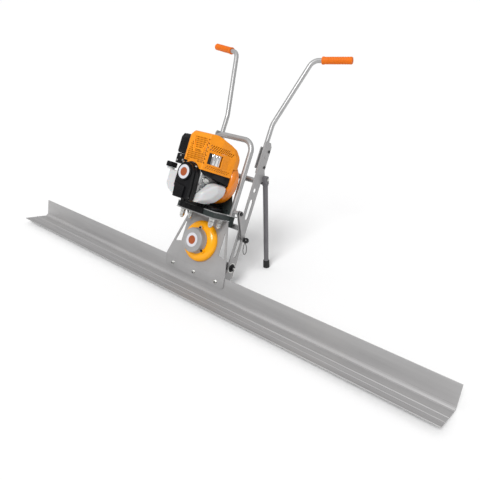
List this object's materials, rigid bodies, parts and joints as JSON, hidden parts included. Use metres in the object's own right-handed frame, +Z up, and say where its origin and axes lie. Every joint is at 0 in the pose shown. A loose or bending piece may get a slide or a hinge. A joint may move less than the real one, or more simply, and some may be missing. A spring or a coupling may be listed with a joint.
{
  "type": "power screed",
  "caption": "Walk-behind vibrating screed: aluminium blade, exciter on a leaning drive plate, small petrol engine on rubber mounts, folding handles and a kickstand.",
  "frame": {"origin": "middle of the blade's flat sole", "axes": "+X along the blade to the operator's right hand end, +Y towards the operator, +Z up; the machine leans back 12.2 degrees onto its kickstand, so the floor is 15.5 mm below the origin"},
  "size_m": [2.5, 0.7868, 1.0039],
  "materials": {
    "blade_metal": "mill finish extruded aluminium",
    "grey_paint": "silver-grey powder coat",
    "tube_paint": "silver-grey powder coat on tube",
    "dark_paint": "dark grey paint",
    "stand_paint": "dark grey powder coat",
    "amber_paint": "glossy amber enamel",
    "zinc_steel": "zinc plated",
    "ground_steel": "ground steel",
    "iron": "cast iron",
    "cast_alloy": "as-cast alloy",
    "black_steel": "black oxide",
    "rubber": "matte rubber",
    "grip_rubber": "orange grip rubber",
    "orange_plastic": "moulded",
    "orange_gloss": "glossy moulded",
    "black_plastic": "moulded",
    "tank_plastic": "translucent white",
    "chrome": "polished",
    "ceramic": "white insulator"
  },
  "bodies": {
    "root": {"air_cleaner_cover": "black_plastic", "bearing_front": "ground_steel", "bearing_rear": "ground_steel", "belt_guard": "black_plastic", "blade": "blade_metal", "blade_bolt_left": "zinc_steel", "blade_bolt_mid": "zinc_steel", "blade_bolt_right": "zinc_steel", "carburettor": "cast_alloy", "crankcase": "cast_alloy", "cylinder_barrel": "cast_alloy", "drive_belt": "rubber", "engine_bracket": "dark_paint", "engine_shroud": "orange_plastic", "exciter_cap": "grey_paint", "exciter_housing": "amber_paint", "fan_housing": "orange_gloss", "fuel_tank": "tank_plastic", "guard_hoop": "tube_paint", "mounting_plate": "grey_paint", "muffler": "chrome", "pivot_bolt_left": "black_steel", "pivot_bolt_right": "black_steel", "rubber_mount_front_left": "rubber", "rubber_mount_front_right": "rubber", "rubber_mount_rear_left": "rubber", "rubber_mount_rear_right": "rubber", "spark_plug": "ceramic", "starter_cover": "black_plastic", "strut_bolt_left": "black_steel", "strut_bolt_right": "black_steel"},
    "handle_frame": {"clamp_plate_left": "grey_paint", "clamp_plate_right": "grey_paint", "cross_tube_lower": "tube_paint", "cross_tube_upper": "tube_paint", "grip_left": "grip_rubber", "grip_right": "grip_rubber", "handle_left": "tube_paint", "handle_right": "tube_paint", "side_bar_left": "grey_paint", "side_bar_right": "grey_paint", "stand_bolt": "zinc_steel"},
    "crank": {"crankshaft": "ground_steel", "flywheel": "cast_alloy", "clutch_rotor": "ground_steel"},
    "drum": {"clutch_drum": "ground_steel"},
    "exciter": {"exciter_shaft": "ground_steel", "eccentric_weight": "iron", "exciter_pulley": "iron"},
    "strut_link_left": {"strut_left": "grey_paint"},
    "strut_link_right": {"strut_right": "grey_paint"},
    "pin_left": {"strut_pin_left": "black_steel"},
    "pin_right": {"strut_pin_right": "black_steel"},
    "stand": {"stand_leg": "stand_paint", "stand_foot": "rubber"},
    "pull_grip": {"starter_grip": "black_plastic"},
    "throttle": {"throttle_lever": "ground_steel"},
    "choke": {"choke_lever": "black_plastic"},
    "primer": {"primer_bulb": "rubber"},
    "filler_cap": {"fuel_cap": "black_plastic"}
  },
  "joints": [
    {"name": "frame_fold", "type": "hinge", "parent": "root", "child": "handle_frame", "pos_m": [0, 0.17631, 0.08647], "axis": [-1, 0, 0], "range_deg": [0, 60]},
    {"name": "stand_fold", "type": "hinge", "parent": "handle_frame", "child": "stand", "pos_m": [0.15, 0.40999, 0.45931], "axis": [1, 0, 0], "range_deg": [-27, 0]},
    {"name": "strut_swing_left", "type": "hinge", "parent": "root", "child": "strut_link_left", "pos_m": [-0.1655, 0.22276, 0.34896], "axis": [1, 0, 0], "range_deg": [-40, 10]},
    {"name": "pin_pull_left", "type": "slide", "parent": "strut_link_left", "child": "pin_left", "axis": [-1, 0, 0], "range_m": [0, 0.03]},
    {"name": "strut_swing_right", "type": "hinge", "parent": "root", "child": "strut_link_right", "pos_m": [0.1655, 0.22276, 0.34896], "axis": [1, 0, 0], "range_deg": [-40, 10]},
    {"name": "pin_pull_right", "type": "slide", "parent": "strut_link_right", "child": "pin_right", "axis": [1, 0, 0], "range_m": [0, 0.03]},
    {"name": "crank_spin", "type": "hinge", "parent": "root", "child": "crank", "pos_m": [0, 0.27313, 0.44955], "axis": [0, 0.8942, -0.4478], "continuous": true},
    {"name": "drum_spin", "type": "hinge", "parent": "root", "child": "drum", "pos_m": [0, 0.27313, 0.44955], "axis": [0, 0.8942, -0.4478], "continuous": true},
    {"name": "exciter_spin", "type": "hinge", "parent": "root", "child": "exciter", "pos_m": [0, 0.14283, 0.18935], "axis": [0, 0.8942, -0.4478], "continuous": true},
    {"name": "starter_pull", "type": "slide", "parent": "root", "child": "pull_grip", "axis": [-1, 0, 0], "range_m": [0, 0.35], "stiffness_N_per_m": 20, "springref_m": -0.05},
    {"name": "throttle_turn", "type": "hinge", "parent": "root", "child": "throttle", "pos_m": [-0.1125, 0.16139, 0.55024], "axis": [1, 0, 0], "range_deg": [0, 40], "stiffness_Nm_per_rad": 0.05, "springref_deg": -11.46},
    {"name": "choke_turn", "type": "hinge", "parent": "root", "child": "choke", "pos_m": [-0.1305, 0.21507, 0.57928], "axis": [1, 0, 0], "range_deg": [0, 60]},
    {"name": "primer_press", "type": "slide", "parent": "root", "child": "primer", "axis": [1, 0, 0], "range_m": [0, 0.004], "stiffness_N_per_m": 150, "springref_m": -0.001},
    {"name": "cap_turn", "type": "hinge", "parent": "root", "child": "filler_cap", "pos_m": [-0.15, 0.12024, 0.5373], "axis": [0, 0.4478, 0.8942], "range_deg": [0, 360]}
  ],
  "couplings": [
    {"joint": "exciter_spin", "follows": "drum_spin", "ratio": 0.92308}
  ]
}
